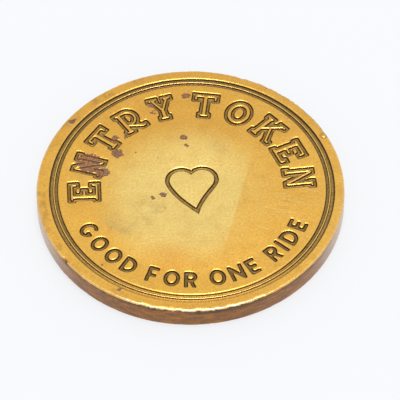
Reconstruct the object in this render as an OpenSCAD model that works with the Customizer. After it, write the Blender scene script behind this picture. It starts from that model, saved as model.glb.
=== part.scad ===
// Brass token: one round blank, engraved on its upper face with a double border, two legends that
// run round it and a heart in the middle. The lower face has the border alone.
// Millimetres, +Z up. The token lies on z = 0 with the axis of the blank on Z.

/* [Blank] */
// Diameter of the blank
blank_d = 26; // [21:0.5:34]
// Thickness of the blank
blank_t = 2; // [1.2:0.1:3.5]
// Radius that the two corners of the edge are worn to
corner_r = 0.14; // [0.05:0.01:0.3]

/* [Border] */
// Width of the plain rim outside the border
rim_w = 0.96; // [0.6:0.02:1.6]
// Width of the border's outer groove
outer_groove_w = 0.34; // [0.2:0.01:0.5]
// Width of the ridge left between the two grooves
ridge_w = 0.1; // [0.06:0.01:0.3]
// Width of the border's inner groove
inner_groove_w = 0.28; // [0.2:0.01:0.5]
// Depth of both grooves
border_depth = 0.2; // [0.1:0.01:0.35]
// How far the engraving sits off the axis of the blank, towards +X
off_centre = 0.13; // [0:0.01:0.3]

/* [Upper legend] */
// Words of the upper legend, from the letters E K N O R T Y
top_text = "ENTRY TOKEN";
// Height of its letters, between the middles of their outlines
cap = 2.56; // [2:0.02:3.2]
// Width of the heavy strokes, between the middles of their outlines
stem = 0.58; // [0.45:0.01:0.8]
// Width of the light strokes, between the middles of their outlines
thin = 0.48; // [0.4:0.01:0.7]
// Thickness of the slab serifs, between the middles of their outlines
slab = 0.46; // [0.4:0.01:0.6]
// How far a serif stands out past its stroke
serif = 0.2; // [0.1:0.01:0.35]
// Length of the ticks that turn in from the arms of an E or a T
tick = 1.1; // [0.8:0.02:1.4]
// Width of the line that outlines each letter
outline_w = 0.34; // [0.2:0.01:0.38]
// Gap between neighbouring letters
top_gap = 0.55; // [0.4:0.01:0.7]
// Gap between words
top_word_gap = 1.2; // [0.6:0.02:1.6]
// Angle that the legend fills
top_arc = 191; // [170:1:205]
// Angle of the middle of the legend
top_middle = 94; // [80:1:100]

/* [Lower legend] */
// Words of the lower legend, from the letters D E F G I N O R
low_text = "GOOD FOR ONE RIDE";
// Height of its letters, between the middles of their strokes
low_cap = 1.3; // [1:0.02:1.7]
// Width of the strokes
low_line_w = 0.35; // [0.2:0.01:0.4]
// Gap between neighbouring letters
low_gap = 0.32; // [0.15:0.01:0.45]
// Gap between words
low_word_gap = 1; // [0.6:0.02:1.4]
// Angle that the legend fills
low_arc = 136; // [110:1:145]
// Angle of the middle of the legend
low_middle = 271; // [260:1:280]

/* [Heart] */
// Radius of the two lobes, to the middle of the line
lobe_r = 1.2; // [1:0.02:1.4]
// Distance of each lobe's centre from the cusp, across
lobe_x = 0.88; // [0.7:0.02:1]
// Mean height of the lobes' centres above the middle of the token
lobe_y = 0.88; // [0.6:0.02:1.4]
// How much higher the right lobe stands than the left
lobe_lift = 0.14; // [0:0.02:0.3]
// How far the point leans to the right of the cusp
point_x = 0.44; // [0.2:0.02:0.6]
// Depth of the point below the middle of the token
point_y = 2.46; // [1.6:0.02:3]
// Width of the line
heart_line_w = 0.4; // [0.2:0.01:0.6]

/* [Engraving] */
// Depth of the legends and the heart
engrave_depth = 0.2; // [0.1:0.01:0.35]
// Gap between the legends and the border
legend_gap = 0.78; // [0.5:0.02:1.2]

/* [Hidden] */

blank_r = blank_d / 2;
border_r = blank_r - rim_w;                                  // outer wall of the outer groove
inner_groove_r = border_r - outer_groove_w - ridge_w;        // outer wall of the inner groove
field_r = inner_groove_r - inner_groove_w;                   // edge of the field
top_base_r = field_r - legend_gap - outline_w / 2 - cap;     // feet of the upper letters
low_base_r = field_r - legend_gap - low_line_w / 2;          // feet of the lower letters, on the outside
round_fn = 180;                                              // sides of a circle when drawn as a mesh
corner_steps = 4;                                            // steps that round a corner of the blank
end_steps = 3;                                               // steps that round a corner of a stroke
arc_step = 9;                                                // degrees to a step along a curved stroke
side_steps = 8;                                              // steps along a side of the heart
least_w = 0.02;                                              // a stroke narrower than this is left out
over = 1;                                                    // how far a cutter stands out of the face

// ---- paths ------------------------------------------------------------------------------------

function unit(v) = v / norm(v);
function left_of(v) = [-v[1], v[0]];
function last(p) = len(p) - 1;

// Points along an elliptical arc
function arc(c, rx, ry, a0, a1) =
    let (n = ceil(abs(a1 - a0) / arc_step))
    [for (k = [0:n]) let (a = a0 + (a1 - a0) * k / n) c + [rx * cos(a), ry * sin(a)]];

// Points round a whole ellipse, the first not repeated
function oval(c, rx, ry) = [for (a = [0:arc_step:360 - arc_step]) c + [rx * cos(a), ry * sin(a)]];

// Points along a cubic Bezier curve
function bezier(p, n) =
    [for (k = [0:n]) let (t = k / n, s = 1 - t)
        s * s * s * p[0] + 3 * s * s * t * p[1] + 3 * s * t * t * p[2] + t * t * t * p[3]];

// Direction of the step that arrives at point i, and of the one that leaves it, round a closed path
function arriving(p, i) = unit(p[i] - p[(i + last(p)) % len(p)]);
function leaving(p, i) = unit(p[(i + 1) % len(p)] - p[i]);

// Offset to the left at a corner between directions a and b, for a line one unit off the path
function mitre(a, b) = let (n = unit(left_of(a) + left_of(b))) n / (n * left_of(a));

// The path with its first and last points moved out by a and b
function longer(p, a, b) =
    let (n = last(p), middle = [for (i = [1:1:n - 1]) p[i]])
    concat([p[0] - a * leaving(p, 0)], middle, [p[n] + b * arriving(p, n)]);

// ---- strokes ----------------------------------------------------------------------------------

// Points of a flat end at e, facing d, with corners of radius r, from the left side to the right
function flat_end(e, d, w, r) =
    let (c = e - r * d, n = left_of(d), q = w / 2 - r)
    concat(
        [for (k = [0:end_steps]) let (a = 90 * k / end_steps) c + (q + r * cos(a)) * n + r * sin(a) * d],
        [for (k = [0:end_steps]) let (a = 90 * k / end_steps) c - (q + r * sin(a)) * n + r * cos(a) * d]);

// A strip of width w along an open path, with corners of radius r at its ends
module ribbon(p, w, r) {
    n = last(p);
    polygon(concat(
        flat_end(p[n], arriving(p, n), w, r),
        [for (i = [n - 1:-1:1]) p[i] - w / 2 * mitre(arriving(p, i), leaving(p, i))],
        flat_end(p[0], -leaving(p, 0), w, r),
        [for (i = [1:1:n - 1]) p[i] + w / 2 * mitre(arriving(p, i), leaving(p, i))]));
}

// A strip of width w round a closed path that runs anticlockwise
module ring(p, w) {
    corners = [for (i = [0:last(p)]) w / 2 * mitre(arriving(p, i), leaving(p, i))];
    difference() {
        polygon(p - corners);
        polygon(p + corners);
    }
}

// A strip of width w round an ellipse
module oval_ring(c, rx, ry, w) {
    difference() {
        polygon(oval(c, rx + w / 2, ry + w / 2));
        polygon(oval(c, rx - w / 2, ry - w / 2));
    }
}

// A stroke is [path, width, start, end]. An end is free, 1, or buried in another stroke, 0: a free end
// moves out with the sides when the stroke is drawn larger. A fifth value, [low, high], cuts the stroke
// off level at those heights. A closed stroke is [path, width] alone, and an oval one is
// [centre, width, x radius, y radius]. g is how much larger it is drawn all round, and r is the radius of
// the corners at its ends.
module stroke(s, g, r) {
    w = s[1] + 2 * g;
    if (w > least_w) {
        if (is_num(s[0][0])) oval_ring(s[0], s[2], s[3], w);
        else if (len(s) == 2) ring(s[0], w);
        else if (len(s) == 4) ribbon(longer(s[0], s[2] * g, s[3] * g), w, min(r, 0.49 * w));
        else intersection() {
            ribbon(s[0], w, min(r, 0.49 * w));
            translate([-cap, s[4][0] - g]) square([2 * cap, s[4][1] - s[4][0] + 2 * g]);
        }
    }
}

// ---- letters of the upper legend: slab serifs, w wide, cap high and centred on x = 0 ---------------

// A serif across the foot (y = 0) or the head (y = 1) of a stroke of width s at x
function slab_serif(x, s, y, l = serif, r = serif) =
    let (h = y * cap + (0.5 - y) * slab) [[[x - s / 2 - l, h], [x + s / 2 + r, h]], slab, 1, 1];

// An arm along the foot or the head from x0 to x1, which ends in a tick
function arm(x0, x1, y) =
    let (h = y * cap + (0.5 - y) * slab) [[[x0, h], [x1, h], [x1, h + (0.5 - y) * tick]], slab, 1, 1];

// An upright between the middles of its two serifs
function upright(x, s) = [[[x, slab / 2], [x, cap - slab / 2]], s, 0, 0];

function slab_e(w) =
    let (x = -w / 2 + serif + stem / 2, r = w / 2 - slab / 2)
    [upright(x, stem), arm(-w / 2, r, 0), arm(-w / 2, r, 1),
     [[[x, cap / 2], [0.16 * w, cap / 2]], thin, 0, 1]];

function slab_k(w) =
    let (x = -w / 2 + serif + stem / 2, r = w / 2 - serif - thin / 2)
    [upright(x, stem), slab_serif(x, stem, 0, r = serif / 2), slab_serif(x, stem, 1, r = serif / 2),
     [[[x, 0.36 * cap], [r, cap - slab / 2]], thin, 0, 0], slab_serif(r, thin, 1),
     [[[x + 0.3 * w, 0.6 * cap], [r, slab / 2]], thin, 0, 0], slab_serif(r, thin, 0, l = 0)];

function slab_n(w) =
    let (x = -w / 2 + serif + thin / 2)
    [[[[x, slab / 2], [x, cap], [-x, 0], [-x, cap - slab / 2]], thin, 0, 0, [0, cap]],
     slab_serif(x, thin, 0, r = serif / 2), slab_serif(-x, thin, 1, l = serif / 2)];

function slab_o(w) = [[[0, cap / 2], stem, w / 2 - stem / 2, cap / 2 - stem / 2]];

function slab_r(w) =
    let (x = -w / 2 + serif + stem / 2, b = 0.28 * cap, c = [w / 2 - thin - b, cap - thin / 2 - b],
         r = w / 2 - serif - thin / 2)
    [upright(x, stem), slab_serif(x, stem, 0, r = serif / 2),
     [concat([[-w / 2, c[1] + b]], arc(c, b, b, 90, -90), [[x, c[1] - b]]), thin, 1, 0],
     [[[c[0] - 0.1 * w, c[1] - b], [r, slab / 2]], thin, 0, 0], slab_serif(r, thin, 0, l = 0)];

function slab_t(w) =
    let (r = w / 2 - slab / 2, h = cap - slab / 2)
    [upright(0, stem), slab_serif(0, stem, 0),
     [[[-r, h - tick / 2], [-r, h], [r, h], [r, h - tick / 2]], slab, 1, 1]];

function slab_y(w) =
    let (r = w / 2 - serif - thin / 2, fork = 0.42 * cap)
    [[[[0, slab / 2], [0, fork]], stem, 0, 0], slab_serif(0, stem, 0),
     [[[-r, cap - slab / 2], [0, fork], [r, cap - slab / 2]], thin, 0, 0],
     slab_serif(-r, thin, 1), slab_serif(r, thin, 1)];

function slab_letter(c, w) =
    c == "E" ? slab_e(w) : c == "K" ? slab_k(w) : c == "N" ? slab_n(w) : c == "O" ? slab_o(w) :
    c == "R" ? slab_r(w) : c == "T" ? slab_t(w) : c == "Y" ? slab_y(w) : [];

// Width of a letter against the others, before the legend is fitted to its arc
function slab_share(c) = c == " " ? 0 : c == "E" ? 2 : c == "K" ? 2.3 : 2.2;

// ---- letters of the lower legend: plain strokes, w wide, low_cap high and centred on x = 0 ---------

// A stroke whose far end is free, and whose near end is free where start is 1
function bar(p, start) = [p, low_line_w, start, 1];

// A stroke cut off level at the foot and the head
function cut_bar(p) = [p, low_line_w, 0, 0, [-low_line_w / 2, low_cap + low_line_w / 2]];

// Closed outline of a bowl between heights y0 and y1, straight along its left side
function bowl(w, y0, y1) =
    let (b = (y1 - y0) / 2, m = (y1 + y0) / 2)
    [concat([[-w / 2, m + b], [-w / 2, m - b]], arc([w / 2 - b, m], b, b, -90, 90)), low_line_w];

function plain_letter(c, w) =
    let (l = -w / 2, r = w / 2, h = low_cap, m = low_cap / 2, past = low_line_w / 2, sill = 0.92 * m,
         low_sill = m - 1.1 * past)
    c == "D" ? [bowl(w, 0, h)] :
    c == "E" ? [bar([[r, h], [l, h], [l, 0], [r, 0]], 1), bar([[l, m], [0.8 * r, m]], 0)] :
    c == "F" ? [bar([[r, h], [l, h], [l, -past]], 1), bar([[l, sill], [0.7 * r, sill]], 0)] :
    c == "G" ? [bar(arc([0, m], r, m, 48, 360), 1), bar([[r, low_sill], [0.1 * w, low_sill]], 0)] :
    c == "I" ? [bar([[0, -past], [0, h + past]], 1)] :
    c == "N" ? [cut_bar([[l, -past], [l, h], [r, 0], [r, h + past]])] :
    c == "O" ? [[[0, m], low_line_w, r, m]] :
    c == "R" ? [bowl(w, sill, h), bar([[l, sill], [l, -past]], 0), cut_bar([[0, sill], [r, -h / 4]])] : [];

function plain_share(c) =
    c == " " || c == "I" ? 0 : c == "O" || c == "G" ? 1.14 : c == "D" || c == "N" ? 1.02 : 0.84;

// ---- legends ----------------------------------------------------------------------------------

function total(v, n) = n == 0 ? 0 : v[n - 1] + total(v, n - 1);

// Places the letters of a legend along an arc of angle span round middle, at radius r. The widths are
// stretched so that the legend fills the arc. Heads point outwards where side is 1, inwards where it is -1.
module legend(words, shares, r, base_r, span, middle, line_w, gap, word_gap, side) {
    n = len(words);
    room = span * PI / 180 * r;
    fixed = [for (c = words) c == " " ? word_gap - gap : line_w + gap];
    stretch = (room + gap - total(fixed, n)) / total(shares, n);
    steps = [for (i = [0:n - 1]) fixed[i] + stretch * shares[i]];
    for (i = [0:n - 1]) if (words[i] != " ") {
        along = total(steps, i) + (steps[i] - gap) / 2 - room / 2;
        rotate(middle - side * along / r * 180 / PI - side * 90) translate([0, side * base_r]) {
            $char = words[i];
            $width = stretch * shares[i];
            children();
        }
    }
}

module upper_legend() {
    g = outline_w / 2;
    legend(top_text, [for (c = top_text) slab_share(c)], top_base_r + cap / 2, top_base_r,
           top_arc, top_middle, outline_w, top_gap, top_word_gap, 1)
        difference() {
            for (s = slab_letter($char, $width)) stroke(s, g, g);
            for (s = slab_letter($char, $width)) stroke(s, -g, g / 4);
        }
}

module lower_legend() {
    legend(low_text, [for (c = low_text) plain_share(c)], low_base_r - low_cap / 2, low_base_r,
           low_arc, low_middle, low_line_w, low_gap, low_word_gap, -1)
        for (s = plain_letter($char, $width)) stroke(s, 0, low_line_w / 4);
}

// ---- heart ------------------------------------------------------------------------------------

// The line of one half of the heart, drawn as a right half. It leaves the point along slant, climbs the
// side, enters the lobe at an angle and goes round it to the cusp, carried a little past both ends.
function half_heart(tip, slant, enter, lobe_c) =
    let (cusp = acos(-lobe_c[0] / lobe_r), past = 6, lobe = arc(lobe_c, lobe_r, lobe_r, enter, cusp + past),
         reach = norm(lobe[0] - tip) / 3,
         side = bezier([tip, tip + reach * slant, lobe[0] - reach * [-sin(enter), cos(enter)], lobe[0]],
                       side_steps))
    concat([tip - heart_line_w * slant], [for (i = [1:side_steps - 1]) side[i]], lobe);

// The two halves differ, as they were cut by hand. They meet on a line that drops straight from the
// cusp and then turns to the point, halving its corner.
module heart() {
    slants = [unit([0.26, 0.97]), unit([0.77, 0.64])];           // right half, left half
    enters = [-32, -24];
    halving = unit([slants[0][0] - slants[1][0], slants[0][1] + slants[1][1]]);
    turn_y = -point_y - point_x * halving[1] / halving[0];
    for (m = [0, 1]) mirror([m, 0]) {
        side = 1 - 2 * m;
        tip = [side * point_x, -point_y];
        past_tip = tip - blank_r * [side * halving[0], halving[1]];
        intersection() {
            ribbon(half_heart(tip, slants[m], enters[m], [lobe_x, lobe_y + side * lobe_lift / 2]),
                   heart_line_w, 0.1 * heart_line_w);
            translate([-least_w / 2, 0])
                polygon([[0, blank_r], [0, turn_y], past_tip, [blank_r, -blank_r], [blank_r, blank_r]]);
        }
    }
}

// ---- token ------------------------------------------------------------------------------------

module blank() {
    corner = [for (k = [0:corner_steps]) let (a = 90 * k / corner_steps)
        [blank_r - corner_r + corner_r * cos(a), blank_t - corner_r + corner_r * sin(a)]];
    foot = [for (i = [corner_steps:-1:0]) [corner[i][0], blank_t - corner[i][1]]];
    rotate_extrude($fn = round_fn) polygon(concat([[0, 0]], foot, corner, [[0, blank_t]]));
}

// A round groove cut down from z = 0, with its outer wall at radius r
module groove(r, w) {
    translate([0, 0, -border_depth]) difference() {
        cylinder(r = r, h = border_depth + over, $fn = round_fn);
        translate([0, 0, -over]) cylinder(r = r - w, h = border_depth + 3 * over, $fn = round_fn);
    }
}

module border() {
    groove(border_r, outer_groove_w);
    groove(inner_groove_r, inner_groove_w);
}

module token() {
    color([0.85, 0.64, 0.28]) difference() {
        blank();
        mirror([0, 0, 1]) translate([off_centre, 0, 0]) border();
        translate([off_centre, 0, blank_t]) {
            border();
            translate([0, 0, -engrave_depth]) linear_extrude(engrave_depth + over) {
                upper_legend();
                lower_legend();
                heart();
            }
        }
    }
}

token();
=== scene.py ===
# %% [markdown]
# A worn brass fare token. The real one is a single disc of brass plate: its edge was turned, a double
# border was turned into the face, and the letters and the heart were engraved by hand. It has no other
# piece, so this lesson makes one closed mesh and spends its effort on the cuts, the wear and the metal.
# The frame comes first: it holds the measured part, and every size below is taken from it.

# %% Load the frame
import math

import bmesh
import bpy
from mathutils import Matrix, Vector, kdtree, noise


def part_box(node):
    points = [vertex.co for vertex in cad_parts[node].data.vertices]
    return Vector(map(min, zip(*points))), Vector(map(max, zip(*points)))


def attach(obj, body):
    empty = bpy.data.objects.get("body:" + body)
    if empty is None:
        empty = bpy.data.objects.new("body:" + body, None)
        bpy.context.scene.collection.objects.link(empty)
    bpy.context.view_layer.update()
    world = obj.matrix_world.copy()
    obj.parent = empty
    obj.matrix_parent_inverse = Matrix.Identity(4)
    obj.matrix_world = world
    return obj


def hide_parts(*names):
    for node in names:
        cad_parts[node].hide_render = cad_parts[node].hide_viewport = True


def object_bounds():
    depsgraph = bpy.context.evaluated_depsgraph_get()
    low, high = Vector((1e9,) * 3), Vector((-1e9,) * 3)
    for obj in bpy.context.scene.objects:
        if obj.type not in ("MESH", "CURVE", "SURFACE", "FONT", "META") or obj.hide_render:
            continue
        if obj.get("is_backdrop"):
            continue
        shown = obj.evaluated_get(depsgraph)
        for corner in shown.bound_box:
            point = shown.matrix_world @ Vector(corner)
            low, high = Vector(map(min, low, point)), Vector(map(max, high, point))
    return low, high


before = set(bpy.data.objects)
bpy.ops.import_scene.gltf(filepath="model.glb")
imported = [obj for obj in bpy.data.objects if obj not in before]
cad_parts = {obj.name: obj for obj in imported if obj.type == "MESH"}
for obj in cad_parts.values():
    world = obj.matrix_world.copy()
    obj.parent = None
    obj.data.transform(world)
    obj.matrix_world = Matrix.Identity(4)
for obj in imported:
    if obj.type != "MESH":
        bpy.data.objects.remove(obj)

cad_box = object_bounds()
MM = 0.001
_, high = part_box("token")
FACE = high.z                                   # height of the upper face
RADIUS = min(high.x, high.y)                    # radius of the blank, inside the part's box
print(f"blank: radius {RADIUS / MM:.3f} mm, {FACE / MM:.3f} mm thick")

# %% [markdown]
# The engraving is already drawn in the part: the floors of its cuts are flat faces a little below the
# upper face. Drawing the letters again would let the two models drift apart, so the pattern is read from
# a merged copy of the node instead, and sorted into islands. The two widest islands are the rings of the
# border, which only give their centre and radii. The rest are the letters and the heart.

# %% Read the pattern from the part
LEAST_CUT = 0.02 * MM                           # a face nearer than this to the upper face isn't a cut
MERGE = 0.0001 * MM                             # points nearer than this are one point


def islands(faces):
    """Groups of faces that share edges."""
    left = set(faces)
    while left:
        group, edge_of = set(), [left.pop()]
        while edge_of:
            face = edge_of.pop()
            group.add(face)
            near = {f for e in face.edges for f in e.link_faces} & left
            left -= near
            edge_of.extend(near)
        yield group


part = bmesh.new()
part.from_mesh(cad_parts["token"].data)
bmesh.ops.remove_doubles(part, verts=part.verts, dist=MERGE)
part.normal_update()
floors = [f for f in part.faces
          if f.normal.z > 0.99 and FACE / 2 < f.calc_center_median().z < FACE - LEAST_CUT]
DEPTH = FACE - max(f.calc_center_median().z for f in floors)

rings, pattern = [], []
for group in islands(floors):
    verts = {v for f in group for v in f.verts}
    xs, ys = [v.co.x for v in verts], [v.co.y for v in verts]
    centre = Vector(((min(xs) + max(xs)) / 2, (min(ys) + max(ys)) / 2))
    if max(xs) - min(xs) > RADIUS:
        spread = [(v.co.xy - centre).length for v in verts]
        rings.append((min(spread), max(spread), centre.x))
    else:
        pattern.extend(group)
rings.sort()
(FIELD_R, RIDGE_IN, OFF_CENTRE), (RIDGE_OUT, BORDER_R, _) = rings
print(f"cuts are {DEPTH / MM:.2f} mm deep; border {FIELD_R / MM:.2f} to {BORDER_R / MM:.2f} mm,",
      f"{OFF_CENTRE / MM:.2f} mm off centre; {len(pattern)} floor faces in the pattern")

# %% [markdown]
# The blank is turned on a lathe, so it is made as a lathe would: half of its section is drawn as a wire,
# each corner of the wire is rounded, and the wire is spun. The tool left crisp corners in the grooves, and
# handling wore the outer ones, so each corner has a radius of its own. The wire stops where the field
# starts, because the field is cut by hand and is filled in afterwards.

# %% Section of the blank
EDGE_WEAR = 0.22 * MM                           # radius worn on the rim's outer corner
FOOT_WEAR = 0.13 * MM                           # radius of the lower outer corner
SHOULDER = 0.10 * MM                            # radius on the shoulders of the grooves
RIDGE_ROUND = 0.036 * MM                        # radius on the ridge between them
ROOT = 0.07 * MM                                # radius at the foot of the grooves
RIDGE_LOW = 0.022 * MM                          # how far the ridge is worn below the face
FIELD_EDGE = FIELD_R - 0.16 * MM                # where the lathe's part of the face stops
WALL_CUTS, RIM_CUTS = 7, 5                      # extra points on the edge and on the rim, for the wear
TINY = 1e-9                                     # lengths below this are rounding errors


def face_section(z, side):
    """Corners across one face from the middle outwards, with side +1 for the upper face and -1 for the
    lower, each as (radius, height, rounding)."""
    floor, ridge = z - side * DEPTH, z - side * RIDGE_LOW
    return [(FIELD_R, z, SHOULDER), (FIELD_R, floor, ROOT),
            (RIDGE_IN, floor, ROOT), (RIDGE_IN, ridge, RIDGE_ROUND),
            (RIDGE_OUT, ridge, RIDGE_ROUND), (RIDGE_OUT, floor, ROOT),
            (BORDER_R, floor, ROOT), (BORDER_R, z, SHOULDER)]


corners = ([(0, 0, 0)] + face_section(0, -1) + [(RADIUS, 0, FOOT_WEAR), (RADIUS, FACE, EDGE_WEAR)]
           + face_section(FACE, 1)[::-1] + [(FIELD_EDGE, FACE, 0)])
blank = bmesh.new()
wire = [blank.verts.new((r, 0, z)) for r, z, _ in corners]
for a, b in zip(wire, wire[1:]):
    blank.edges.new((a, b))
for edge in list(blank.edges):
    (r0, z0), (r1, z1) = [(v.co.x, v.co.z) for v in edge.verts]
    if abs(r1 - r0) < TINY and abs(z1 - z0) > FACE / 2:
        bmesh.ops.subdivide_edges(blank, edges=[edge], cuts=WALL_CUTS)
    elif z0 == z1 == FACE and max(r0, r1) > BORDER_R * 1.02:
        bmesh.ops.subdivide_edges(blank, edges=[edge], cuts=RIM_CUTS)
for r, z, rounding in corners:
    if rounding:
        corner = min(blank.verts, key=lambda v: (v.co - Vector((r, 0, z))).length)
        bmesh.ops.bevel(blank, geom=[corner], offset=rounding, offset_type="OFFSET", profile=0.5,
                        segments=6 if rounding == EDGE_WEAR else 3, affect="VERTICES", material=-1)
print(f"section: {len(blank.verts)} points")

# %% [markdown]
# A turned disc is the same in every direction, so one section says all about it. Spinning the wire once
# round the axis makes the skin of the blank. The last copy lands on the first one, and merging them closes
# it. The steps are small enough for the round edge to stay round when seen from close by.

# %% Spin the section
STEPS = 480                                     # copies of the section in one turn
bmesh.ops.spin(blank, geom=blank.verts[:] + blank.edges[:], cent=(0, 0, 0), axis=(0, 0, 1),
               angle=math.tau, steps=STEPS, use_merge=True, use_duplicate=False)
bmesh.ops.remove_doubles(blank, verts=blank.verts, dist=MERGE)
print(f"spun blank: {len(blank.faces)} faces")

# %% [markdown]
# The border was turned in a second setting of the lathe, so it runs a hair off the blank's centre. The
# whole wire was spun round the blank's own centre. Moving the inside sideways, and letting the move fade
# out across the rim, gives the same uneven rim without a second spin to join.

# %% Shift the border off centre
def smooth_step(low_end, high_end, value):
    """0 up to the low end, 1 from the high end on, and smooth between."""
    t = min(max((value - low_end) / (high_end - low_end), 0.0), 1.0)
    return t * t * (3 - 2 * t)


for v in blank.verts:
    inside = 1 - smooth_step(BORDER_R, RADIUS - EDGE_WEAR, v.co.xy.length)
    v.co.x += OFF_CENTRE * inside
print(f"border moved by {OFF_CENTRE / MM:.2f} mm")

# %% [markdown]
# The letters were cut by a hand-held graver, so their outlines aren't quite true. The outlines are taken
# from the pattern as bare loops, cut into short even steps, eased a little so that the corners round, and
# pushed about by a slow noise. Only then are they filled, once for the cuts and once for the face round
# them: both fills share the same loops, so the face and the cuts meet without a seam.

# %% Outlines of the cuts
STEP = 0.085 * MM                               # longest step along an outline
EASINGS = 3                                     # how many times the outlines are eased
WOBBLE = 0.014 * MM                             # how far the hand strayed
SLOW, QUICK = 0.45 * MM, 0.16 * MM              # lengths over which it strayed

kept_faces = set(pattern)
bmesh.ops.delete(part, geom=[f for f in part.faces if f not in kept_faces], context="FACES")
inner = [e for e in part.edges if not e.is_boundary]
bmesh.ops.delete(part, geom=part.faces[:], context="FACES_ONLY")
bmesh.ops.delete(part, geom=inner, context="EDGES")
for v in part.verts:
    v.co.z = FACE
for cuts in range(1, int(max(e.calc_length() for e in part.edges) / STEP) + 1):
    edges = [e for e in part.edges if int(e.calc_length() / STEP) == cuts]
    bmesh.ops.subdivide_edges(part, edges=edges, cuts=cuts)
for _ in range(EASINGS):
    bmesh.ops.smooth_vert(part, verts=part.verts, factor=0.5, use_axis_x=True, use_axis_y=True)
for v in part.verts:
    stray = noise.noise_vector(v.co / SLOW) + 0.5 * noise.noise_vector(v.co / QUICK)
    v.co += WOBBLE * Vector((stray.x, stray.y, 0))
print(f"outlines: {len(part.verts)} points")

# %% [markdown]
# Each outline is now a bare loop. Letters nest: the loop round an O has another one inside it. A triangle
# fill takes all the loops at once and leaves every second region open, so it knows the inside of an O by
# itself. The first fill makes the cuts. The second adds one circle round everything and makes the face.

# %% Fill the cuts and the face
outline_mesh = bpy.data.meshes.new("outlines")
part.to_mesh(outline_mesh)
part.free()
body = bmesh.new()
body.from_mesh(outline_mesh)
bpy.data.meshes.remove(outline_mesh)


def fill(edges):
    """Fills nested loops of edges with flat faces, leaving every second one open."""
    made = bmesh.ops.triangle_fill(body, edges=edges, use_beauty=True, normal=(0, 0, 1))["geom"]
    return [f for f in made if isinstance(f, bmesh.types.BMFace)]


cut_faces = fill(body.edges[:])
outlines = [e for e in body.edges if e.is_boundary]
field_edge = bmesh.ops.create_circle(body, segments=STEPS, radius=FIELD_EDGE, cap_ends=False,
                                     matrix=Matrix.Translation((OFF_CENTRE, 0, FACE)))["verts"]
circle = list(dict.fromkeys(e for v in field_edge for e in v.link_edges))     # each once, in a fixed order
land = fill(outlines + circle)
area = [sum(f.calc_area() for f in faces) / MM ** 2 for faces in (cut_faces, land)]
print(f"cuts: {len(cut_faces)} faces, {area[0]:.1f} mm2;",
      f"face round them: {len(land)} faces, {area[1]:.1f} mm2")

# %% [markdown]
# A cut isn't a box: its shoulder is worn round, its wall leans, and its root is rounded. Insetting the
# filled region again and again gives the rows of faces for that section, but a plain inset folds over
# itself in the tight corners of a letter. So each new row is made in place and then moved: every point of
# an outline knows the way square to it, and the widest circle that fits there, on either side, says how
# far it may go. A narrow corner then runs out shallow, as a graver's cut does.

# %% How far each point of an outline may move
LEAN = 0.9                                      # share of the widest circle that a point may cross
REACH = 0.4 * MM                                # how far away the other side is looked for

cut_set, outline_set = set(cut_faces), set(outlines)
outline_points = list({v for e in outlines for v in e.verts})
finder = kdtree.KDTree(len(outline_points))
for i, v in enumerate(outline_points):
    finder.insert(v.co, i)
finder.balance()


def way_in(vert):
    """Direction from a point of an outline into the cut, square to the outline."""
    ahead, behind = [e.other_vert(vert).co for e in vert.link_edges if e in outline_set]
    along = (ahead - behind).normalized()
    across = Vector((-along.y, along.x, 0))
    inside = next(f for f in vert.link_faces if f in cut_set).calc_center_median() - vert.co
    return across if inside.dot(across) > 0 else -across


def room(place, way):
    """How far a point may move one way: a share of the widest circle that touches it and fits there."""
    widest = REACH
    for other, _, _ in finder.find_range(place, 2 * REACH):
        reach = way.dot(other - place)
        if reach > TINY:
            widest = min(widest, (other - place).length_squared / (2 * reach))
    return LEAN * widest


into_cut, into_land = {}, {}
for v in outline_points:
    place, way = v.co.copy(), way_in(v)
    into_cut[place.to_tuple()] = place, way, room(place, way)
    into_land[place.to_tuple()] = place, -way, room(place, -way)
for name, moves in (("cut", into_cut), ("land", into_land)):
    rooms = [most / MM for _, _, most in moves.values()]
    print(f"room on the {name} side: {min(rooms):.3f} to {max(rooms):.3f} mm")

# %% [markdown]
# The section of a cut is a short list of rows, each a little further in and deeper than the one before.
# The face gets rows of its own that lead down to the outline, and those are its worn shoulders. The depth
# also varies a little along a letter, because the hand that pushed the graver did.

# %% Sink the cuts and round their shoulders
# Each row is (how far from the outline, how far below the face), in millimetres
OUTLINE_DOWN = 0.022
LAND_SECTION = [(0.02, 0.012), (0.042, 0.003), (0.07, 0.0)]
CUT_SECTION = [(0.012, 0.05), (0.026, 0.09), (0.045, 0.14), (0.075, 0.178), (0.115, 0.197)]
FLOOR_UNEVEN = 0.08                             # share by which the depth of a cut varies
FLOOR_SWELL = 0.6 * MM                          # length over which it varies


def add_rows(faces, moves, section, uneven):
    """Insets a region row by row and moves each new point along its own outline point's way."""
    for across, down in section:
        bmesh.ops.inset_region(body, faces=faces, thickness=0, depth=0, use_boundary=False)
        row = {}
        for v in {v for f in faces for v in f.verts}:
            if v.co.to_tuple() in moves:
                place, way, most = moves[v.co.to_tuple()]
                moved = min(across * MM, most)
                sunk = OUTLINE_DOWN + (down - OUTLINE_DOWN) * moved / (across * MM)
                v.co = place + moved * way
                v.co.z = FACE - sunk * MM * (1 + uneven * noise.noise(place / FLOOR_SWELL))
                row[v.co.to_tuple()] = place, way, most
        moves = row
    print(f"{len(section)} rows round {len(faces)} faces")


add_rows(cut_faces, into_cut, CUT_SECTION, FLOOR_UNEVEN)
add_rows(land, into_land, LAND_SECTION, 0)
lip_layer = body.verts.layers.float.new("lip")
for v in body.verts:
    if v.co.to_tuple() in into_cut:
        v.co.z = FACE - OUTLINE_DOWN * MM
        v[lip_layer] = 1.0

# %% [markdown]
# The filled face and the spun blank end on the same circle, with the same number of points. Building them
# apart kept each one simple. Joining them is then a merge of the points that lie on each other, and a
# count of the open edges shows that the skin is closed.

# %% Join the face to the blank
WELD = 0.001 * MM                               # how close the points of the two circles have to be

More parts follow.
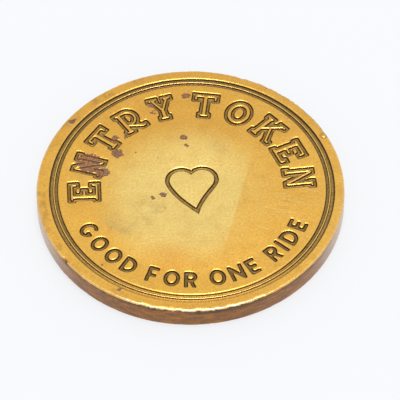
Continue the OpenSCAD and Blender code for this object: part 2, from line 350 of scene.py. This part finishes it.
blank_mesh = bpy.data.meshes.new("blank")
blank.to_mesh(blank_mesh)
blank.free()
body.from_mesh(blank_mesh)
bpy.data.meshes.remove(blank_mesh)
bmesh.ops.remove_doubles(body, verts=[v for v in body.verts if v.is_boundary], dist=WELD)
print(f"token: {len(body.verts)} points, {len(body.faces)} faces,",
      f"{sum(not e.is_manifold for e in body.edges)} open edges")

# %% [markdown]
# A token is dropped, stacked and carried with keys, so its outer corners take most of the wear. Nothing is
# added to the metal: every mark pushes points inwards, so the piece stays inside the blank. The upper
# corner has a row of small knocks at the front, rougher ones at the far right and one deep nick at the
# near left. Sculpting the marks would look as good, but moving points by a noise can be changed later.

# %% Wear on the outer corner
CORNER_REACH = 0.3 * MM                         # how far from the corner its wear spreads
CHATTER, SWELL = 0.35 * MM, 2.2 * MM            # lengths of the small knocks and of the slow wear
SLOW_WEAR, SMALL_WEAR = 0.02 * MM, 0.035 * MM   # how deep they go all round
KNOCKS = [(246, 300, 0.12 * MM), (28, 70, 0.2 * MM)]          # from and to in degrees, and how deep
NICK_AT, NICK_W, NICK_DEEP = math.radians(216), 0.24 * MM, 0.2 * MM
SLUMP = 0.8                                     # how far a mark goes away from the face, for its way in


def between(angle, start, end, soft=4):
    """1 inside a range of directions in degrees and 0 outside it, with soft ends."""
    degrees = math.degrees(angle) % 360
    begun = smooth_step(start - soft, start + soft, degrees)
    return begun * (1 - smooth_step(end - soft, end + soft, degrees))


deepest = 0
for v in body.verts:
    out = v.co.xy.length
    for corner_z, upper in ((FACE, 1), (0, 0)):
        near = 1 - smooth_step(0, CORNER_REACH, math.hypot(out - RADIUS, v.co.z - corner_z))
        if near == 0:
            continue
        angle = math.atan2(v.co.y, v.co.x)
        chatter = abs(noise.noise(v.co.xyz / CHATTER))
        swell = 0.5 + 0.5 * noise.noise(Vector((v.co.x, v.co.y, corner_z)) / SWELL)
        push = SLOW_WEAR * swell + SMALL_WEAR * chatter
        if upper:
            for start, end, deep in KNOCKS:
                push += deep * chatter * between(angle, start, end)
            gap = math.remainder(angle - NICK_AT, math.tau) * RADIUS / NICK_W
            push += NICK_DEEP * math.exp(-gap * gap)
        v.co -= near * push * Vector((v.co.x / out, v.co.y / out, SLUMP if upper else -SLUMP))
        deepest = max(deepest, near * push)
print(f"deepest mark on the corners: {deepest / MM:.3f} mm")

# %% [markdown]
# The token is one piece of metal, so the mesh becomes one object. It takes the place of the measured node,
# rides on the root body and has one slot for its brass. Smooth shading is enough, because every corner has
# been given a real radius.

# %% Make the piece
token_mesh = bpy.data.meshes.new("struck_token")
bmesh.ops.recalc_face_normals(body, faces=body.faces)
for f in body.faces:
    f.smooth = True
body.to_mesh(token_mesh)
body.free()
token = bpy.data.objects.new("struck_token", token_mesh)
bpy.context.scene.collection.objects.link(token)
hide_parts("token")
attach(token, "root")
heights = [v.co.z / MM for v in token_mesh.vertices]
print(f"triangles: {sum(len(p.vertices) - 2 for p in token_mesh.polygons)},",
      f"z {min(heights):.3f} to {max(heights):.3f} mm")

# %% [markdown]
# The token is one alloy all through, so it has one material. What changes from place to place is what
# happened to the metal: rubbed pale in the middle, warmer towards the rim, dark in the cuts, brown on the
# edge, and spotted where damp got at it. Some of it is painted light and shade as well: painted shade along
# the walls of the cuts and under the outer corner, painted light on the front of the border and of the
# corner, and a painted reflection on both sides of the edge. All of it is laid out in the token's own
# coordinates, in millimetres, so a mark keeps its size and its place. A few short helpers keep the node
# tree readable.

# %% Helpers for the shader
brass = bpy.data.materials.new("worn_brass")
brass.use_nodes = True
tree = brass.node_tree
shader = tree.nodes["Principled BSDF"]
print(f"material {brass.name} starts with {len(tree.nodes)} nodes")


def node(kind, inputs, out=0, **settings):
    """Adds a shader node, fills its inputs with values or other nodes' outputs, and gives one output."""
    made = tree.nodes.new("ShaderNode" + kind)
    for name, value in settings.items():
        setattr(made, name, value)
    for key, value in inputs.items():
        if isinstance(value, bpy.types.NodeSocket):
            tree.links.new(value, made.inputs[key])
        else:
            made.inputs[key].default_value = value
    return made.outputs[out]


def calc(operation, a, b=0.0, c=0.0):
    """One step of arithmetic on numbers."""
    return node("Math", {0: a, 1: b, 2: c}, operation=operation)


def vector(operation, a, b=(0, 0, 0), c=(0, 0, 0), out=0):
    """One step of arithmetic on vectors; its second output is a number."""
    return node("VectorMath", {0: a, 1: b, 2: c}, operation=operation, out=out)


def times(a, b):
    """One number times another."""
    return calc("MULTIPLY", a, b)


def line_up(value, gain, start):
    """A straight line: the start, plus the gain for each unit of the value."""
    return calc("MULTIPLY_ADD", value, gain, start)


def band(value, start, end):
    """0 before the start, 1 after the end and smooth between; the other way round if the end is lower."""
    return node("MapRange", {"Value": value, "From Min": start, "From Max": end},
                interpolation_type="SMOOTHSTEP")


def mix(share, a, b):
    """A share of the second colour laid over the first."""
    return node("Mix", {0: share, 6: a, 7: b}, out=2, data_type="RGBA")


def grain(scale, detail=2.0, rough=0.5, at=None, seed=0.0):
    """Noise from 0 to 1 with so many lumps to the millimetre."""
    return node("TexNoise", {"Vector": at or mm, "W": seed, "Scale": scale, "Detail": detail,
                             "Roughness": rough}, noise_dimensions="4D")

# %% [markdown]
# Every finish below asks where a point is: how far from the middle, how deep under the face, on the edge
# or on the rim. A painted mask would answer too, but it would need the mesh unrolled. The distances are
# worked out once here and shared, and the border's own centre is used for everything that follows it.

# %% Where a point is on the token
FACE_MM, CORNER_MM = FACE / MM, (RADIUS - EDGE_WEAR) / MM
FIELD_MM, RIDGE_IN_MM, RIDGE_OUT_MM, BORDER_MM = [r / MM for r in (FIELD_R, RIDGE_IN, RIDGE_OUT, BORDER_R)]

mm = vector("MULTIPLY", node("TexCoord", {}, out=3), (1 / MM, 1 / MM, 1 / MM))
x, y, z = [node("SeparateXYZ", {0: mm}, out=i) for i in range(3)]
centred = vector("LENGTH", node("CombineXYZ", {0: x, 1: y}), out=1)
ring_x = calc("SUBTRACT", x, OFF_CENTRE / MM)
from_ring = vector("LENGTH", node("CombineXYZ", {0: ring_x, 1: y}), out=1)
down = calc("MINIMUM", z, calc("SUBTRACT", FACE_MM, z))      # depth below the nearer face
on_rim = band(centred, BORDER_MM + 0.05, BORDER_MM + 0.3)
in_border = band(from_ring, FIELD_MM - 0.15, FIELD_MM - 0.1)
sunk = times(band(down, 0.035, 0.09), band(centred, BORDER_MM + 0.4, BORDER_MM + 0.3))
bottom = times(sunk, band(down, 0.158, 0.197))               # floors of the cuts
below_corner = band(line_up(grain(1.2, 2, seed=2), 0.1, down), 0.15, 0.19)
edge = times(band(centred, CORNER_MM - 0.05, CORNER_MM), below_corner)
print(f"places on the token: {len(tree.nodes)} nodes")

# %% [markdown]
# Clean brass isn't one colour. Fingers kept the middle pale and slightly green, and age turned the parts
# that they missed to a warmer gold. A round patch that fades out gives the first, and slow noise the
# second. On the real token the pale patch ends on a straight line at the right, as if something had
# lain across it, so beyond a line the patch is about half as strong. The lower face has no such line.

# %% Clean metal
PALE = (0.945, 0.665, 0.186, 1)                 # rubbed by handling
GOLD = (0.87, 0.475, 0.071, 1)                  # left alone
WARM = (0.70, 0.345, 0.050, 1)                  # turned a little by age
MIDDLE = (-0.4, -0.7)                           # middle of the pale patch
LINE_X, LINE_SLOPE, LINE_SOFT = 4.42, 0.25, 0.12    # where the line crosses, its lean and its softness


def away(place_x, place_y):
    """Distance from a place on the upper face."""
    return vector("DISTANCE", mm, (place_x, place_y, FACE_MM), out=1)


small_cloud = grain(0.9, 4, 0.6, seed=3)
from_middle = away(*MIDDLE)
middle = band(line_up(grain(0.25, 3, 0.55), 5.0, from_middle), 11.2, 5.6)
line_far = calc("SUBTRACT", line_up(y, LINE_SLOPE, LINE_X), x)
lower_face = band(z, 0.6 * FACE_MM, 0.4 * FACE_MM)
left_of_line = calc("MAXIMUM", band(line_far, -LINE_SOFT, LINE_SOFT), lower_face)
metal = mix(times(middle, line_up(left_of_line, 0.45, 0.55)), GOLD, PALE)
metal = mix(times(band(small_cloud, 0.42, 0.85), 0.7), metal, WARM)
metal = mix(times(band(y, 3.5, 7.5), 0.35), metal, WARM)
print(f"clean metal: {len(tree.nodes)} nodes")

# %% [markdown]
# Cloths and pockets left faint streaks that run one way, and the rim has stains where fingers hold it.
# Both are noise: for a streak it is turned and drawn out along one direction, and for a stain it is left
# round and kept to the rim. They change the colour by a little only, so the metal still reads as one.

# %% Streaks and stains
WIPED_GOLD = (0.93, 0.56, 0.125, 1)
BRUSHED_GOLD = (0.80, 0.485, 0.105, 1)
RUBBED = (0.93, 0.71, 0.235, 1)                 # scoured paler still, up to the line
STAIN = (0.46, 0.235, 0.055, 1)


def turned(degrees, stretch):
    """The token's coordinates turned about its axis and scaled, for marks drawn out one way."""
    around = node("VectorRotate", {"Vector": mm, "Angle": math.radians(degrees)}, rotation_type="Z_AXIS")
    return vector("MULTIPLY", around, stretch)


wiping = band(grain(1.0, 5, 0.65, at=turned(6, (0.35, 1.5, 1.0)), seed=31), 0.42, 0.72)
metal = mix(times(times(wiping, band(x, 1.0, 6.0)), 0.5), metal, WIPED_GOLD)
brushing = band(grain(1.0, 5, 0.65, at=turned(28, (2.2, 0.5, 1.0)), seed=32), 0.45, 0.75)
metal = mix(times(brushing, 0.35), metal, BRUSHED_GOLD)
rubbed = times(left_of_line, band(from_middle, 8.0, 4.5))
metal = mix(times(rubbed, 0.4), metal, RUBBED)

stain = times(band(grain(1.1, 5, 0.65, seed=24), 0.45, 0.7), on_rim)
metal = mix(times(stain, line_up(band(x, 2.0, -8.0), 0.45, 0.2)), metal, STAIN)
metal = mix(times(times(on_rim, band(y, -9.5, -12.0)), 0.4), metal, WARM)
print(f"streaks and stains: {len(tree.nodes)} nodes")

# %% [markdown]
# Greasy fingers left dull smudges, a drop dried into a ring, and an orange bloom sits above the lower
# legend. Each has a place of its own, so each is a soft disc, or a ring, round a point. Noise eats into
# the discs so that none of them looks drawn. The tiny dark specks have no fixed places: they are the
# middles of a few cells of a cell pattern.

# %% Smudges and specks
SMUDGE = (0.56, 0.41, 0.150, 1)
BLOOM = (0.82, 0.40, 0.062, 1)
SPECK = (0.36, 0.22, 0.075, 1)
SMUDGES = [(-5.6, -3.3, 2.6), (-3.4, -2.6, 1.8), (2.4, 4.6, 1.4), (-9.3, 1.5, 1.0)]    # x, y, radius
DROP, DROP_R = (-2.5, -2.2), 0.38
BLOOM_AT = (-1.8, -7.8)


def on_circle(distance, radius, outside, inside):
    """1 along a circle of this radius round a place, fading to 0 between the two distances from it."""
    return band(calc("ABSOLUTE", calc("SUBTRACT", distance, radius)), outside, inside)


smudge = 0.0
for smudge_x, smudge_y, size in SMUDGES:
    smudge = calc("MAXIMUM", smudge, band(away(smudge_x, smudge_y), size, 0.2 * size))
smudge = times(smudge, band(grain(0.8, 5, 0.65, seed=21), 0.38, 0.66))
drop = times(on_circle(away(*DROP), DROP_R, 0.2, 0.02), band(grain(2.5, 3, seed=22), 0.35, 0.6))
metal = mix(times(calc("MAXIMUM", smudge, drop), 0.55), metal, SMUDGE)
bloom = band(line_up(small_cloud, 1.6, away(*BLOOM_AT)), 3.4, 1.6)
metal = mix(times(bloom, 0.5), metal, BLOOM)

cell = {"Vector": mm, "Scale": 1.1}
near_speck = band(node("TexVoronoi", cell, out=0), 0.15, 0.05)
kept = band(node("SeparateXYZ", {0: node("TexVoronoi", cell, out=1)}), 0.62, 0.64)
specks = times(times(near_speck, kept), band(grain(0.3, 2, seed=23), 0.42, 0.56))
metal = mix(times(specks, 0.5), metal, SPECK)
print(f"smudges and specks: {len(tree.nodes)} nodes")

# %% [markdown]
# Everything that slides over a token touches its corners first and polishes them. The shoulders of the
# letters carry a value, lip, that was set on the mesh; the shoulders of the border are found by their
# radius. The outer corner is polished all round and painted much paler at the front, where the knocks are:
# that is partly wear and partly a painted highlight. A wear mask from the curvature of the mesh would also
# do, but it would depend on how finely the mesh is cut.

# %% Rubbed corners, with a painted highlight at the front
BRIGHT = (0.93, 0.78, 0.40, 1)                  # polished by everything that slid over it
POLISHED_AND_HIGHLIT = (0.97, 0.86, 0.55, 1)               # the outer corner: polished, with a painted highlight at the front

lip = node("Attribute", {}, out=2, attribute_name="lip")
for shoulder in (FIELD_MM, RIDGE_IN_MM, RIDGE_OUT_MM, BORDER_MM):
    lip = calc("MAXIMUM", lip, on_circle(from_ring, shoulder, 0.09, 0.0))
rubs = band(grain(2.2, 3, 0.6, seed=4), 0.3, 0.6)
metal = mix(times(lip, line_up(rubs, 0.35, 0.05)), metal, BRIGHT)
# painted highlight: the outer corner is much paler at the front, besides its wear all round
corner = band(centred, CORNER_MM - 0.02, CORNER_MM + 0.1)
corner = times(corner, line_up(band(y, -11.0, -12.6), 0.7, 0.2))
metal = mix(times(corner, line_up(rubs, 0.5, 0.5)), metal, POLISHED_AND_HIGHLIT)
print(f"rubbed corners: {len(tree.nodes)} nodes")

# %% [markdown]
# Nothing reaches into the cuts to clean them, so they hold an olive patina. Along their walls they are
# nearly black, partly patina and partly painted shade, and how deep a point lies tells the two apart. The
# small letters are darker still, the outer groove of the border has a light floor and a dark outer wall,
# and the front of the border's grooves is painted lighter, a painted light where their walls face the
# camera.

# %% Patina and painted shade in the cuts
SOOT_AND_SHADE = (0.080, 0.045, 0.011, 1)                 # patina and painted shade along the walls
OLIVE = (0.31, 0.18, 0.040, 1)                  # floor of the letters and the heart
BORDER_OLIVE = (0.25, 0.15, 0.034, 1)           # floor of the border's inner groove
LIGHT_OLIVE = (0.35, 0.212, 0.048, 1)           # floor of the border's outer groove

outer_groove = band(from_ring, RIDGE_IN_MM + 0.02, RIDGE_OUT_MM - 0.02)
cut_dirt_and_shade = mix(outer_groove, mix(in_border, OLIVE, BORDER_OLIVE), LIGHT_OLIVE)
by_wall = band(from_ring, BORDER_MM - 0.16, BORDER_MM - 0.08)
in_small_letters = times(band(y, -3.2, -4.2), calc("SUBTRACT", 1.0, in_border))
# patina and painted shade: the walls, the border's outer wall and the small letters are darkened
cut_dirt_and_shade = mix(calc("MAXIMUM", times(by_wall, 0.8), times(in_small_letters, 0.5)), cut_dirt_and_shade, SOOT_AND_SHADE)
patina_and_painted_light = mix(times(bottom, band(grain(8, 3, 0.6, seed=5), 0.2, 0.6)), SOOT_AND_SHADE, cut_dirt_and_shade)
# painted light: the border's grooves are lighter at the front, where their walls face the camera
front_painted_light = times(band(y, -6.0, -11.5), in_border)
patina_and_painted_light = mix(times(front_painted_light, 0.3), patina_and_painted_light, GOLD)
metal = mix(sunk, metal, patina_and_painted_light)
print(f"patina: {len(tree.nodes)} nodes")

# %% [markdown]
# Where damp sat, the brass broke out in red-brown spots with a dull violet bruise in them. The spots have
# places of their own, most of them round one letter at the left. Each starts as a disc in coordinates
# that noise has pushed about, and a finer noise with a hard threshold gives it a ragged, crusty outline.
# The crust isn't metal, so it also takes the metallic value down. A faint halo leads into it.

# %% Spots where damp got at it
# Each spot is (x, y, radius, strength), in millimetres
SPOTS = [(-8.6, 2.8, 1.45, 0.82), (-7.4, 1.7, 0.8, 0.8), (-6.2, 3.8, 0.6, 1.0), (-6.4, 5.45, 0.42, 1.0),
         (-5.4, 5.7, 0.42, 0.9), (-0.34, 10.1, 0.5, 0.9), (-3.3, 9.2, 0.45, 0.7), (-3.1, 8.3, 0.4, 0.6),
         (-0.5, 5.45, 0.4, 1.1), (-0.3, 4.6, 0.2, 1.0), (-4.7, 3.9, 0.14, 0.9), (-2.25, -0.7, 0.36, 0.8),
         (-3.2, -1.05, 0.24, 0.9), (-10.0, 7.4, 0.4, 0.9), (-5.8, -10.6, 0.3, 0.9), (-7.3, -8.2, 0.16, 0.9)]
STRAY = 0.9                                     # how far noise pushes the outline of a spot
RUST = (0.165, 0.052, 0.015, 1)
BRUISE = (0.075, 0.050, 0.045, 1)
HALO = (0.50, 0.20, 0.04, 1)

lumps = node("TexNoise", {"Vector": mm, "Scale": 2.0, "Detail": 3.0}, out=1)
strayed = vector("MULTIPLY_ADD", lumps, (STRAY, STRAY, 0.0), mm)
flat = vector("MULTIPLY", strayed, (1.0, 1.0, 0.0))
damp = 0.0
for spot_x, spot_y, size, strength in SPOTS:
    far = vector("DISTANCE", flat, (spot_x + STRAY / 2, spot_y + STRAY / 2, 0), out=1)
    damp = calc("MAXIMUM", damp, times(band(far, size * 1.25, size * 0.3), strength))
damp = times(damp, band(z, FACE_MM - 0.4, FACE_MM - 0.3))
reached = calc("MINIMUM", times(damp, 4.0), 1.0)
breakup = grain(4.0, 5, 0.7, seed=7)
halo = times(band(line_up(breakup, 0.8, damp), 0.7, 1.1), reached)
metal = mix(times(halo, 0.5), metal, HALO)
spotted = times(band(line_up(breakup, 1.5, damp), 1.12, 1.3), reached)
crust_colour = mix(band(grain(2.6, 4, 0.6, seed=8), 0.46, 0.62), RUST, BRUISE)
metal = mix(times(spotted, line_up(sunk, -0.45, 0.92)), metal, crust_colour)
print(f"damp spots: {len(SPOTS)} places, {len(tree.nodes)} nodes")

# %% [markdown]
# The edge was never rubbed clean, so it went brown, with streaks that follow the turning. Under the corner
# it carries painted shade, most of it right of the front, and both sides carry a painted reflection that
# makes them paler. One noise drawn out level gives all the streaks.

# %% The edge
BROWN = (0.215, 0.092, 0.024, 1)
ORANGE = (0.40, 0.160, 0.034, 1)
VIOLET = (0.17, 0.095, 0.062, 1)
SHADE = (0.10, 0.052, 0.022, 1)                 # painted shade under the corner
SIDE_REFLECTION = (0.74, 0.60, 0.46, 1)                 # painted reflection, paler at both sides

level_out = vector("MULTIPLY", mm, (0.7, 0.7, 2.4))
side = mix(band(grain(1.1, 5, 0.7, at=level_out, seed=9), 0.38, 0.62), BROWN, ORANGE)
side = mix(times(band(grain(1.5, 5, 0.7, at=level_out, seed=10), 0.46, 0.64), 0.6), side, VIOLET)
right_of_front = times(band(x, 0.0, 2.0), band(x, 6.5, 4.5))
shade_patches = calc("MAXIMUM", band(grain(1.6, 4, 0.65, at=level_out, seed=12), 0.44, 0.6), right_of_front)
# painted shade under the corner, most of it right of the front
shade_under_corner = times(band(z, FACE_MM - 0.75, FACE_MM - 0.3), shade_patches)
side = mix(times(shade_under_corner, 0.75), side, SHADE)
# painted reflection: both sides of the edge are painted paler
flank_reflection = calc("MAXIMUM", band(x, 9.6, 13.4), band(x, -9.4, -13.6))
side = mix(times(flank_reflection, 0.7), side, SIDE_REFLECTION)
metal = mix(edge, metal, side)
print(f"edge: {len(tree.nodes)} nodes")

# %% [markdown]
# Brass this worn isn't smooth. It has hairline scratches from sliding over other tokens, a patch of them
# at the right, and a few long ones that can be told apart. They are too small to model, so they go into
# the colour and the bump. The fine ones are noise drawn out one way, of which only the peaks are kept,
# and each long one is a thin band between two places.

# %% Scratches
HAIR = (0.93, 0.75, 0.34, 1)
DARK_HAIR = (0.50, 0.30, 0.080, 1)
# Each scratch is (start, end, half its width), in millimetres
BRIGHT_LINES = [((-6.9, -0.35), (-2.2, -0.38), 0.055), ((5.4, -2.0), (9.3, -2.75), 0.05),
                ((-4.8, -6.1), (-1.2, -5.2), 0.045), ((6.0, 1.2), (9.4, 0.6), 0.045),
                ((7.2, -1.1), (9.6, -1.75), 0.05), ((6.9, -2.6), (9.9, -2.9), 0.045),
                ((5.6, -4.2), (6.6, -4.5), 0.06)]
DARK_LINES = [((-4.3, 4.1), (-2.3, 4.25), 0.04), ((7.0, -1.3), (9.8, -2.0), 0.04),
              ((-1.5, -5.9), (2.5, -5.6), 0.05)]


def scratches(degrees, length, width, low_end, high_end, seed):
    """Straight hairlines in one direction: noise drawn out along it, of which only the peaks are kept."""
    drawn = turned(degrees, (1 / length, 1 / width, 1.0))
    return band(grain(1.0, 2, 0.5, at=drawn, seed=seed), low_end, high_end)


def one_scratch(start, end, width):
    """One straight scratch between two places on the face, thin at its ends."""
    a, b = Vector(start), Vector(end)
    along = (b - a).normalized()
    half = (b - a).length / 2
    from_mid = vector("SUBTRACT", mm, ((a + b) / 2).to_3d())
    down_it = vector("DOT_PRODUCT", from_mid, along.to_3d(), out=1)
    off_it = vector("DOT_PRODUCT", from_mid, (-along.y, along.x, 0), out=1)
    ends = band(calc("ABSOLUTE", down_it), half, 0.5 * half)
    return times(ends, band(calc("ABSOLUTE", off_it), width, 0.3 * width))


right_patch = times(band(x, 5.0, 7.5), band(calc("ABSOLUTE", calc("ADD", y, 1.5)), 4.0, 1.5))
on_face = calc("SUBTRACT", 1.0, calc("MAXIMUM", sunk, edge))
strength = times(line_up(right_patch, 0.55, 0.2), on_face)
hair = calc("MAXIMUM", times(scratches(4, 2.2, 0.075, 0.54, 0.70, 11), strength),
            times(scratches(88, 1.4, 0.07, 0.55, 0.74, 13), times(on_face, 0.15)))
for start, end, width in BRIGHT_LINES:
    hair = calc("MAXIMUM", hair, one_scratch(start, end, width))
dark_hair = times(scratches(4, 1.8, 0.07, 0.56, 0.72, 12), times(strength, 0.6))
for start, end, width in DARK_LINES:
    dark_hair = calc("MAXIMUM", dark_hair, times(one_scratch(start, end, width), 0.6))
metal = mix(times(hair, 0.38), metal, HAIR)
metal = mix(times(dark_hair, 0.5), metal, DARK_HAIR)
print(f"scratches: {len(tree.nodes)} nodes")

# %% [markdown]
# Under all of that lies a fine grain that breaks up the colour, the gloss and the bump together, so that
# a rougher spot is also a darker one. The rust has a stronger grain of its own. A ring-shaped dent is sunk
# in the bump and darkened in the colour, and some tool marks on the right of the rim are in the bump only:
# they are a tenth of a millimetre wide.

# %% Grain, dent and roughness
DENT, DENT_R = (11.4, 5.6), 0.26
WHITE = (1, 1, 1, 1)


def tint(a, b):
    """One colour darkened or lightened by another."""
    return node("Mix", {0: 1.0, 6: a, 7: b}, out=2, data_type="RGBA", blend_type="MULTIPLY")


rust_grain = node("MapRange", {"Value": grain(7, 4, 0.7, seed=26), "From Min": 0.35, "From Max": 0.65,
                              "To Min": 0.45, "To Max": 1.7})
rust_grain = node("CombineXYZ", {0: rust_grain, 1: rust_grain, 2: rust_grain})
metal = tint(metal, mix(spotted, WHITE, rust_grain))
fine = grain(5, 4, 0.7, seed=15)
metal = tint(metal, node("MapRange", {"Value": fine, "From Min": 0.3, "From Max": 0.7,
                                      "To Min": 0.85, "To Max": 1.15}))
dent = on_circle(away(*DENT), DENT_R, 0.16, 0.04)
# the ring of the dent is darkened in the colour
metal = mix(times(dent, 0.55), metal, SPECK)

rough = line_up(fine, 0.14, 0.20)
for where, rougher in ((sunk, 0.24), (edge, 0.12), (spotted, 0.15)):
    rough = line_up(where, rougher, rough)

height = calc("ADD", line_up(hair, -0.1, fine), times(spotted, times(breakup, 2.0)))
height = line_up(dent, -3.0, height)
tooled = times(times(on_rim, band(x, 5.5, 7.0)), band(y, 3.5, 5.5))
height = line_up(times(tooled, grain(3.5, 3, 0.6, seed=25)), 3.0, height)
print(f"grain: {len(tree.nodes)} nodes")

# %% [markdown]
# Last, the colour, the gloss and the bump go to one shader. Brass is a metal, so the colour is also the
# colour of what it mirrors. Handled brass has a thin film of grease and wax over it, and a weak, soft coat
# stands for that.

# %% Put the brass together
FILM, FILM_ROUGH = 0.35, 0.25
BUMP_HEIGHT, BUMP_SHARE = 0.02 * MM, 0.6

bump = node("Bump", {"Height": height, "Distance": BUMP_HEIGHT, "Strength": BUMP_SHARE})
tree.links.new(metal, shader.inputs["Base Color"])
tree.links.new(rough, shader.inputs["Roughness"])
tree.links.new(line_up(spotted, -0.8, 1.0), shader.inputs["Metallic"])
tree.links.new(bump, shader.inputs["Normal"])
shader.inputs["Coat Weight"].default_value = FILM
shader.inputs["Coat Roughness"].default_value = FILM_ROUGH
token_mesh.materials.append(brass)
print(f"brass: {len(tree.nodes)} nodes")

# %% [markdown]
# The token lies on something pale and evenly lit, so bright that it shows almost no shadow. A sheet with a
# little light of its own gives that: the shadow under the edge stays, but only just. A brighter lamp
# would also bleach the sheet, but it would burn out the metal first.

# %% Floor
SHEET_HALF = 1.5                                # half the width of the sheet, in metres
SHEET_COLOUR = (0.16, 0.162, 0.166, 1)
SHEET_GLOW = (0.965, 0.975, 1.0, 1)
SHEET_POWER = 0.73

floor_mesh = bpy.data.meshes.new("table")
sheet = bmesh.new()
bmesh.ops.create_grid(sheet, x_segments=1, y_segments=1, size=SHEET_HALF)
sheet.to_mesh(floor_mesh)
sheet.free()
table = bpy.data.objects.new("table", floor_mesh)
bpy.context.scene.collection.objects.link(table)
paper = bpy.data.materials.new("pale_paper")
paper.use_nodes = True
paper_shader = paper.node_tree.nodes["Principled BSDF"]
paper_shader.inputs["Base Color"].default_value = SHEET_COLOUR
paper_shader.inputs["Roughness"].default_value = 0.8
paper_shader.inputs["Emission Color"].default_value = SHEET_GLOW
paper_shader.inputs["Emission Strength"].default_value = SHEET_POWER
floor_mesh.materials.append(paper)
table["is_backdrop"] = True
print(f"floor: {2 * SHEET_HALF} m wide")

# %% [markdown]
# Metal shows what stands round it. An even pale surrounding keeps the flat face calm and golden, and one
# soft box straight overhead is mirrored only by slopes that lean towards the camera: the shoulders of
# the cuts and the worn corner at the front. They flash, and the face doesn't.

# %% Light
ROOM_COLOUR, ROOM_POWER = (0.985, 0.99, 1.0, 1), 0.84
BOX_WAY, BOX_DISTANCE = Vector((0.04, 0.02, 1)).normalized(), 0.5
BOX_SIZE, BOX_POWER = 0.16, 1.3

world = bpy.data.worlds.new("studio")
world.use_nodes = True
world.node_tree.nodes["Background"].inputs["Color"].default_value = ROOM_COLOUR
world.node_tree.nodes["Background"].inputs["Strength"].default_value = ROOM_POWER
bpy.context.scene.world = world

soft_box = bpy.data.lights.new("overhead", "AREA")
soft_box.shape = "SQUARE"
soft_box.size = BOX_SIZE
soft_box.energy = BOX_POWER
lamp = bpy.data.objects.new("overhead", soft_box)
lamp.matrix_world = (Matrix.Translation(BOX_WAY * BOX_DISTANCE)
                     @ BOX_WAY.to_track_quat("Z", "Y").to_matrix().to_4x4())
bpy.context.scene.collection.objects.link(lamp)
print(f"soft box: {BOX_SIZE} m wide, {BOX_DISTANCE} m away")

# %% [markdown]
# The camera looks down at the token from the front, from far enough away that the circle turns into a
# nearly true ellipse. A long lens brings it close again, and a small shift puts the face where it belongs
# in the frame without turning the camera, which would change the ellipse.

# %% Camera
ELEVATION = math.radians(51.35)
ROLL = math.radians(-0.50)
DISTANCE = 24 * RADIUS
SENSOR = 36
FOCAL_SHARE = 9.245                             # focal length as a share of the frame's width
AIM_X, AIM_DOWN = -0.0239, -0.030725            # the face's centre from the frame's, as shares of its width

camera_data = bpy.data.cameras.new("camera")
camera_data.sensor_width = SENSOR
camera_data.lens = FOCAL_SHARE * SENSOR
camera_data.clip_start = 0.01
camera_data.shift_x = -AIM_X
camera_data.shift_y = AIM_DOWN
camera = bpy.data.objects.new("camera", camera_data)
back = Vector((0, -math.cos(ELEVATION), math.sin(ELEVATION)))
right = Vector((1, 0, 0))
view = Matrix((right, back.cross(right), back)).transposed() @ Matrix.Rotation(ROLL, 3, "Z")
camera.matrix_world = Matrix.Translation(Vector((0, 0, FACE)) + DISTANCE * back) @ view.to_4x4()
bpy.context.scene.collection.objects.link(camera)
bpy.context.scene.camera = camera
bpy.context.scene.view_settings.view_transform = "Standard"
print(f"camera: {DISTANCE:.3f} m away, lens {camera_data.lens:.0f} mm")

# %% [markdown]
# The finished piece is made to fill the same box as the measured part without standing out of it. The two
# boxes are set against each other, and how far their sides differ is printed.

# %% Check the size
visual_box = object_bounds()
inset = [abs(a - b) / MM for c, v in zip(cad_box, visual_box) for a, b in zip(c, v)]
print(f"the sides of the two boxes differ by {min(inset):.3f} to {max(inset):.3f} mm")
